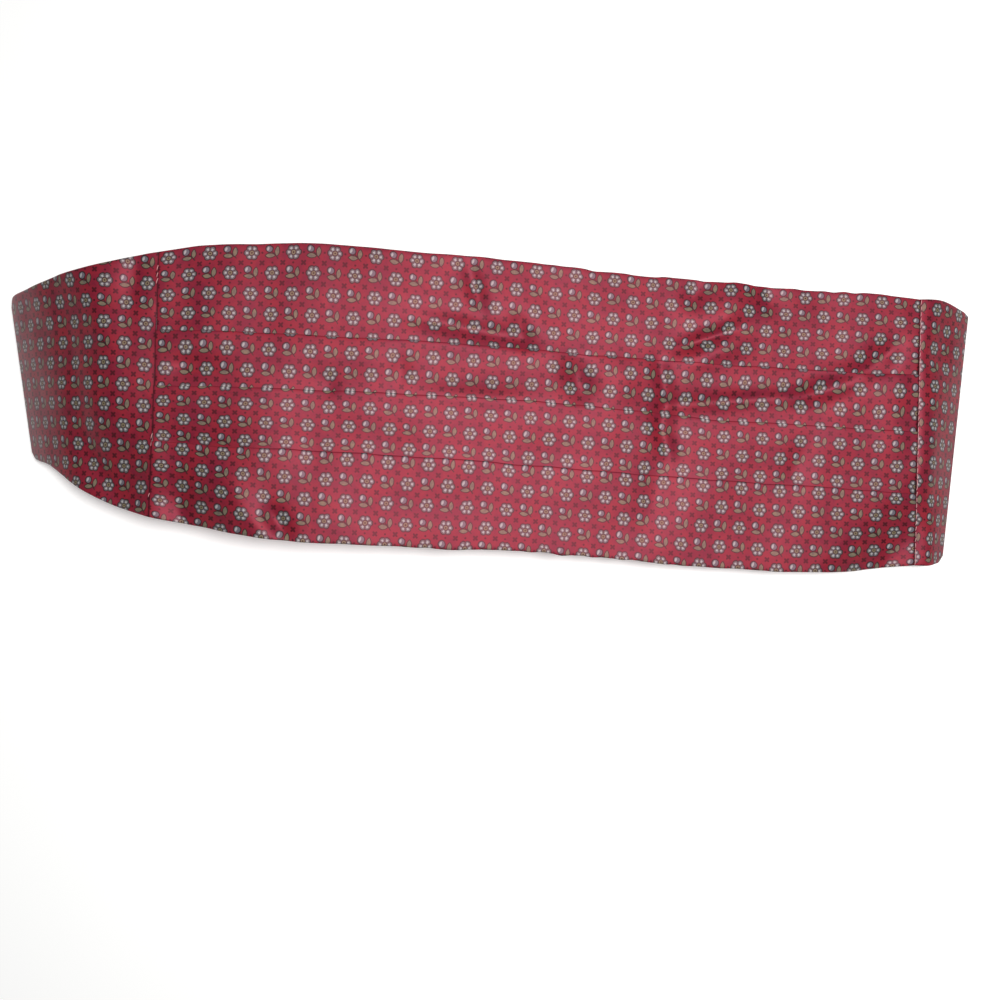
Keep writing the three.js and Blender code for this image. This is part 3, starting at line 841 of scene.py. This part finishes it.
def endStations(end):  # side view: place, height, heading and length of cloth so far
    rows = []
    x, z, heading, travelled = panel["seam"] / 2, end["rise"], 0.0, 0.0
    rows.append((x, z, heading, travelled))

    def goStraight(length, count):
        nonlocal x, z, travelled
        for _ in range(count):
            x += length / count * math.cos(heading)
            z -= length / count * math.sin(heading)
            travelled += length / count
            rows.append((x, z, heading, travelled))

    def goRound(radius, turn, count):
        nonlocal x, z, heading, travelled
        part = turn / count
        for _ in range(count):
            x += radius * (math.sin(heading + part) - math.sin(heading))
            z -= radius * (math.cos(heading) - math.cos(heading + part))
            heading += part
            travelled += radius * part
            rows.append((x, z, heading, travelled))

    step, crease = endCloth["step"], endCloth["creaseRadius"]
    for part in endCloth["seamSteps"]:
        goStraight(part, 1)
    level = end["level"] - sum(endCloth["seamSteps"])
    if level > 0:
        goStraight(level, round(end["level"] / step))
    shoulder = math.radians(end["shoulderTurn"])
    goRound(end["shoulderRadius"], shoulder, round(end["shoulderRadius"] * shoulder / step))
    floorTurn = math.radians(end["floorTurn"])
    foot = endCloth["depth"] + crease * (1 + math.cos(floorTurn))
    slope = (z - foot) / (math.cos(heading) - math.cos(floorTurn))
    goRound(slope, floorTurn - heading, round(slope * (floorTurn - heading) / step))
    goRound(crease, math.pi - heading, endCloth["creaseSteps"])
    back = endCloth["length"] - travelled
    goStraight(back, round(back / step))
    return np.array(rows).T


def endSection(halfWidth):  # (across, out) of a cloth turned in along both edges
    fold = (endCloth["outer"] - endCloth["inner"]) / 2
    middle, hem, hidden = endCloth["inner"] + fold, endCloth["hem"], endCloth["hiddenStep"]
    edge = halfWidth - fold
    section = [(a, endCloth["inner"]) for a in steps(hem - halfWidth, -edge, hidden)]
    section += arcPoints((-edge, middle), fold, 270, 90, foldSteps)
    section += [(a, endCloth["outer"]) for a in steps(-edge, edge, endCloth["step"])[1:]]
    section += arcPoints((edge, middle), fold, 90, -90, foldSteps)
    section += [(a, endCloth["inner"]) for a in steps(edge, halfWidth - hem, hidden)[1:]]
    return np.array(section + [(halfWidth - hem, endCloth["inner"])])


def shapedEnd(name, node, end, sections, dentRows, seed):
    half, side = panel["width"] / 2, end["side"]
    tip = endCloth["tipWidth"] / panel["width"]
    rows = sections + [dict(along=1, lower=-tip, upper=tip)]
    x, z, heading, travelled = endStations(end)
    along = travelled / endCloth["length"]
    lower, upper = (readColumn(rows, line, along) * half for line in ("lower", "upper"))
    section = endSection(half)
    across, out = section[:, :1], section[:, 1:]
    # the hems keep their depth while the cloth between them narrows
    hem = endCloth["hem"]
    fromEdge = half - np.abs(across)
    bend = travelled[np.argmax(heading > math.pi / 2)]
    # the edges draw in at the crease, so its corners are round
    draw = np.exp(-((travelled - bend) / endCloth["drawReach"]) ** 2)
    lower, upper = lower + end["corners"][0] * draw, upper - end["corners"][1] * draw
    narrow = (upper - lower) / 2
    inward = np.where(fromEdge < hem, fromEdge, hem + (fromEdge - hem) * (narrow - hem) / (half - hem))
    y = (upper + lower) / 2 + np.sign(across) * (narrow - inward)
    toCrease = travelled / bend
    beyond = (travelled - bend) / (endCloth["length"] - bend)
    easing = np.where(toCrease < 1, smooth(toCrease), 1 - smooth(beyond))
    seamPart = np.where(toCrease < 1, 1 - easing, 0)
    lean = end["seamLean"] * seamPart + end["lean"] * easing
    fade = smooth(bend - endCloth["creaseFlat"] - travelled, 0, endCloth["creaseFade"])
    free = smooth(travelled, 0, endCloth["seamFade"]) * fade
    relief = dents(dentRows, travelled, y) + waves(endCloth["wave"], travelled, y, seed)
    relief = relief + waves(endCloth["ripple"], travelled, y, seed + 1)
    pucker = waves(endCloth["seamPucker"], travelled * puckerStretch, y, seed + 2)
    pucker = pucker * np.exp(-travelled / puckerReach)
    groove = end["groove"] * np.exp(-travelled / end["grooveReach"])
    groove = groove * smooth(out, endCloth["inner"], endCloth["outer"])
    height = out + relief * free + pucker * smooth(travelled, 0, endCloth["puckerFrom"]) - groove
    # it sags below its seam, and stays up longer along its upper edge
    t = np.clip(toCrease, 0, 1)
    sag = end["sag"] * smooth(end["fallFrom"] - y, 0, cornerSpan) * t * (1 - t) ** 2
    crest = end["crest"] * smooth(y, 0, half) * t**2 * (1 - t)
    fromMiddle = side * (panel["length"] / 2 + x)
    fallen = cornerFall(end, y, t) + cornerSlump(end, fromMiddle, y) * (1 - t) ** 1.5
    aside = lean * y + end["seamShift"] * seamPart + side * fallSpread * fallen
    places = np.stack([
        middleX + side * (panel["length"] / 2 + x + height * np.sin(heading)) + aside,
        middleY + y,
        z + height * np.cos(heading) + (crest - sag) * humpScale - fallen,
    ], -1)
    v = flatLengths(section)
    u = side * travelled + (lean - end["seamLean"]) * y * np.abs(np.cos(heading))
    flat = np.stack([u + (panel["length"] if side > 0 else 0), y + v.mean()], -1)
    piece = clothBody(name, places, flat, endCloth["thickness"], [silk, reverse], side)
    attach(piece, "root")
    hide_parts(node)
    cutWidth = (upper - lower) + 2 * hem
    cutArea = float(np.sum((cutWidth[1:] + cutWidth[:-1]) / 2 * np.diff(travelled)))
    return piece, float(cutWidth.max()), cutArea


left, leftCut, leftArea = shapedEnd("leftEnd", "left_end", leftEnd, leftSections, leftDents, 50)
right, rightCut, rightArea = shapedEnd("rightEnd", "right_end", rightEnd, rightSections, rightDents, 60)
print("shaped ends made")


# Straps and clasp, plain and hidden under the front

strapSize = {
    "width": 25,
    "thickness": 1.2,
    "clearance": 0.3,
    "return": 16,  # the end that is folded back over the strap
    "fall": 40,  # degrees, where it comes down from the clasp
    "claspPlace": -40,  # from the middle of the panel
    "bar": 4,
    "slot": 5,
    "plate": 12,
    "claspThickness": 2,
    "claspSide": 3.5,
    "claspCorner": 3,
    "claspBevel": 0.35,
    "step": 3,
    "columns": 21,
    "flatPlace": 20,  # of its middle line in the flat webbing
}


def strap(name, node, side):
    size = strapSize
    low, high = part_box(node)
    start = (low.x if side < 0 else high.x) / mm
    clasp = middleX + size["claspPlace"]
    thick, clear = size["thickness"], size["clearance"]
    barInner = abs(start - clasp) - size["plate"] / 2 - size["slot"]
    barOuter = barInner - size["bar"]
    offset = clear + thick / 2
    barBottom = thick + clear
    barTop = barBottom + size["claspThickness"]
    upper = barBottom + thick / 2
    fall = math.radians(size["fall"])
    path = [(a, thick / 2) for a in steps(0, barInner, size["step"])]
    path += arcPoints((barInner, barBottom), offset, -90, 0, 6)
    path += arcPoints((barInner, barTop), offset, 0, 90, 6)
    path += arcPoints((barOuter, barTop), offset, 90, 90 + size["fall"], 5)
    drop = path[-1][1] - upper - offset * (1 - math.cos(fall))
    foot = path[-1][0] - drop / math.tan(fall)
    landing = foot - offset * math.sin(fall)
    path += arcPoints((landing, upper + offset), offset, size["fall"] - 90, -90, 5)
    path += [(a, upper) for a in steps(landing, landing - size["return"], size["step"])[1:]]
    path = np.array(path + [(landing - size["return"], upper)])
    apart = np.linalg.norm(np.diff(path, axis=0), axis=1) > 0.01  # no point twice
    path = path[np.r_[True, apart]]
    width = np.linspace(-0.5, 0.5, size["columns"]) * size["width"]
    travelled = flatLengths(path)
    places = np.stack(np.broadcast_arrays(
        start - side * path[:, :1], middleY + width[None, :], path[:, 1:]), -1)
    flat = np.stack(np.broadcast_arrays(travelled[:, None], width[None, :] + size["flatPlace"]), -1)
    piece = clothBody(name, places, flat, thick, [webbing, webbing], side)
    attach(piece, "root")
    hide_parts(node)


def claspPlate():
    size = strapSize
    low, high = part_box("clasp")
    middle = (low + high) / 2 / mm
    curve = bpy.data.curves.new("clasp", "CURVE")
    curve.dimensions = "2D"
    curve.fill_mode = "BOTH"
    bevel = size["claspBevel"]
    curve.bevel_depth = bevel * mm
    curve.bevel_resolution = 3
    curve.offset = -bevel * mm
    curve.extrude = (size["claspThickness"] / 2 - bevel) * mm

    def ring(points):
        spline = curve.splines.new("POLY")
        spline.points.add(len(points) - 1)
        for point, (x, y) in zip(spline.points, points):
            point.co = (x * mm, y * mm, 0, 1)
        spline.use_cyclic_u = True

    halfX = (high.x - low.x) / 2 / mm
    halfY = (high.y - low.y) / 2 / mm
    corner = size["claspCorner"]
    outline = []
    for sx, sy, start in ((1, 1, 0), (-1, 1, 90), (-1, -1, 180), (1, -1, 270)):
        outline += arcPoints((sx * (halfX - corner), sy * (halfY - corner)), corner, start, start + 90, 8)
    ring(outline)
    slotRound = size["slot"] / 2
    slotEnd = halfY - size["claspSide"] - slotRound
    for side in (-1, 1):
        centre = side * (size["plate"] / 2 + slotRound)
        ring(arcPoints((centre, slotEnd), slotRound, 0, 180, 10)
             + arcPoints((centre, -slotEnd), slotRound, 180, 360, 10))
    shape = addObject("claspShape", curve)
    bpy.context.view_layer.update()
    mesh = bpy.data.meshes.new_from_object(shape.evaluated_get(bpy.context.evaluated_depsgraph_get()))
    bpy.data.objects.remove(shape)
    plate = bmesh.new()
    plate.from_mesh(mesh)
    bmesh.ops.remove_doubles(plate, verts=plate.verts, dist=0.001 * mm)  # joins the flats to the bevel
    plate.to_mesh(mesh)
    plate.free()
    mesh.set_sharp_from_angle(angle=math.radians(35))
    mesh.name = "claspPlate"
    mesh.transform(Matrix.Translation(middle * mm))
    mesh.materials.clear()
    mesh.materials.append(steel)
    piece = addObject("claspPlate", mesh)
    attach(piece, "root")
    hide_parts("clasp")


strap("leftStrap", "left_strap", -1)
strap("rightStrap", "right_strap", 1)
claspPlate()
print("straps and clasp made")


# Stitches

stitches = {
    "length": 2.5,
    "shortest": 0.85,
    "longest": 1.1,
    "tilt": 0.12,
    "bow": 0.28,  # how far its middle stands up
    "dip": 0.12,  # and its ends go into the cloth
    "thickness": 0.34,
    "rightCount": 46,
    "rightSpan": (-0.9, 0.94),  # shares of half the panel's width
    "rightAside": 0.25,
    "rightRise": 1.42,
    "leftPlaces": (47, 44, 41.5, -24, -27, -49),
    "leftAside": 0.2,
    "leftRise": 1.3,
    "slipFirst": 6,  # the first row of the hem with a stitch
    "slipSpacing": 8,
    "strapCount": 12,
    "strapReach": 10.5,
    "strapInset": 0.1,
}


def stitchRow(name, places, directions, normals, seed):
    # each stitch is a small bowed thread that dips into the cloth at both ends
    rng = np.random.default_rng(seed)
    sides, rings = 6, 7
    vertices, faces = [], []
    for place, direction, normal in zip(places, directions, normals):
        direction, normal = Vector(direction).normalized(), Vector(normal).normalized()
        across = direction.cross(normal).normalized()
        length = stitches["length"] * rng.uniform(stitches["shortest"], stitches["longest"])
        tilt = rng.uniform(-stitches["tilt"], stitches["tilt"])
        base = len(vertices)
        for r in range(rings):
            t = r / (rings - 1) * 2 - 1
            centre = (Vector(place) + direction * (t * length / 2) + across * (tilt * t * length / 2)
                      + normal * (stitches["bow"] * (1 - t * t) - stitches["dip"]))
            radius = stitches["thickness"] / 2 * math.sqrt(max(0.15, 1 - t**4))
            for k in range(sides):
                angle = 2 * math.pi * k / sides
                out = across * math.cos(angle) + normal * math.sin(angle)
                vertices.append((centre + out * radius) * mm)
        for r in range(rings - 1):
            for k in range(sides):
                a, b = base + r * sides + k, base + r * sides + (k + 1) % sides
                faces.append((a, b, b + sides, a + sides))
        faces.append(tuple(base + k for k in range(sides))[::-1])
        faces.append(tuple(base + (rings - 1) * sides + k for k in range(sides)))
    mesh = bpy.data.meshes.new(name)
    mesh.from_pydata(vertices, [], faces)
    mesh.polygons.foreach_set("use_smooth", np.ones(len(faces), bool))
    mesh.materials.append(thread)
    piece = addObject(name, mesh)
    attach(piece, "root")


def seamStitches():
    half, count = panel["width"] / 2, stitches["rightCount"]
    ys = np.linspace(stitches["rightSpan"][0] * half, stitches["rightSpan"][1] * half, count)
    fallen = cornerFall(rightEnd, ys, 0) + cornerSlump(rightEnd, panel["length"] / 2, ys)
    aside = rightEnd["seamLean"] * ys + rightEnd["seamShift"] + fallSpread * fallen
    x = seamX + stitches["rightAside"] + aside
    places = list(zip(x, middleY + ys, rightEnd["rise"] + stitches["rightRise"] - fallen))
    stitchRow("rightSeamStitches", places, [(0, 1, 0)] * count, [(0, 0, 1)] * count, 5)


def looseStitches():  # the few that show at the left seam
    ys = np.array(stitches["leftPlaces"])
    fallen = cornerFall(leftEnd, ys, 0) + cornerSlump(leftEnd, -panel["length"] / 2, ys)
    aside = leftEnd["seamLean"] * ys - fallSpread * fallen
    x = middleX - panel["length"] / 2 - stitches["leftAside"] + aside
    places = list(zip(x, middleY + ys, leftEnd["rise"] + stitches["leftRise"] - fallen))
    stitchRow("leftSeamStitches", places, [(0.25, 1, 0)] * len(ys), [(0, 0, 1)] * len(ys), 6)


def slipStitches():  # they catch the two long hems, on the inner face
    each = round(stitches["slipSpacing"] / panel["visibleStep"])
    rows = [edge[stitches["slipFirst"]::each] for edge in hemEdges]
    places = np.concatenate(rows) - (0, 0, panel["thickness"] / 2)
    count = len(places)
    stitchRow("hemStitches", places, [(0.6, 1, 0)] * count, [(0, 0, -1)] * count, 7)


def strapStitches(name, node, side, seed):  # a short row across the join of end and strap
    low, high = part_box(node)
    start = (low.x if side < 0 else high.x) / mm
    reach, inset = stitches["strapReach"], stitches["strapInset"]
    ys = np.linspace(-reach, reach, stitches["strapCount"])
    places = [(start - side * inset, middleY + y, strapSize["thickness"] + inset) for y in ys]
    stitchRow(name, places, [(1, 0.15, 0)] * len(ys), [(0, 0, 1)] * len(ys), seed)


seamStitches()
looseStitches()
slipStitches()
strapStitches("leftStrapStitches", "left_strap", -1, 8)
strapStitches("rightStrapStitches", "right_strap", 1, 9)
print("stitches made")


# Floor, light and camera

studio = {
    "cameraHeight": 470,  # mm above the floor, looking straight down
    "cameraX": -16.9,  # from the middle of the panel
    "cameraY": -41.3,
    "roll": 3.8,
    "lens": 36,
    "sensor": 36,
    "sky": 0.12,
    "keyPower": 8.2,
    "keySize": 0.2,
    "keyPlace": (0.18, 0.02, 0.85),
    "floorSize": 6,  # m
    "floorDrop": 0.3,  # mm, so that the cloth never lies in it
    "floorColour": (0.86, 0.86, 0.85),
    "floorGlow": 0.24,
    "white": (1, 1, 1, 1),
}


def makeFloor():
    bpy.ops.mesh.primitive_plane_add(size=studio["floorSize"], location=(0, 0, -studio["floorDrop"] * mm))
    floor = bpy.context.object
    floor.name = "floor"
    material, _, shader = newMaterial("paleFloor", 0.9)
    shader.inputs["Base Color"].default_value = (*studio["floorColour"], 1)
    shader.inputs["Emission Color"].default_value = studio["white"]
    shader.inputs["Emission Strength"].default_value = studio["floorGlow"]
    floor.data.materials.append(material)


def makeLights():
    world = bpy.data.worlds.new("studio")
    world.use_nodes = True
    sky = world.node_tree.nodes["Background"]
    sky.inputs["Color"].default_value = studio["white"]
    sky.inputs["Strength"].default_value = studio["sky"]
    bpy.context.scene.world = world
    light = bpy.data.lights.new("softKey", "AREA")
    light.shape = "DISK"
    light.size = studio["keySize"]
    light.energy = studio["keyPower"]
    lamp = addObject("softKey", light)
    lamp.location = studio["keyPlace"]
    lamp.rotation_euler = (-Vector(studio["keyPlace"])).to_track_quat("-Z", "Y").to_euler()


def makeCamera():
    data = bpy.data.cameras.new("camera")
    data.lens, data.sensor_width = studio["lens"], studio["sensor"]
    data.clip_start, data.clip_end = 0.01, 20
    camera = addObject("camera", data)
    camera.location = Vector((middleX + studio["cameraX"], middleY + studio["cameraY"],
                              studio["cameraHeight"])) * mm
    camera.rotation_euler = (0, 0, math.radians(studio["roll"]))
    bpy.context.scene.camera = camera


makeFloor()
makeLights()
makeCamera()
bpy.context.scene.view_settings.view_transform = "Standard"
print("studio made")
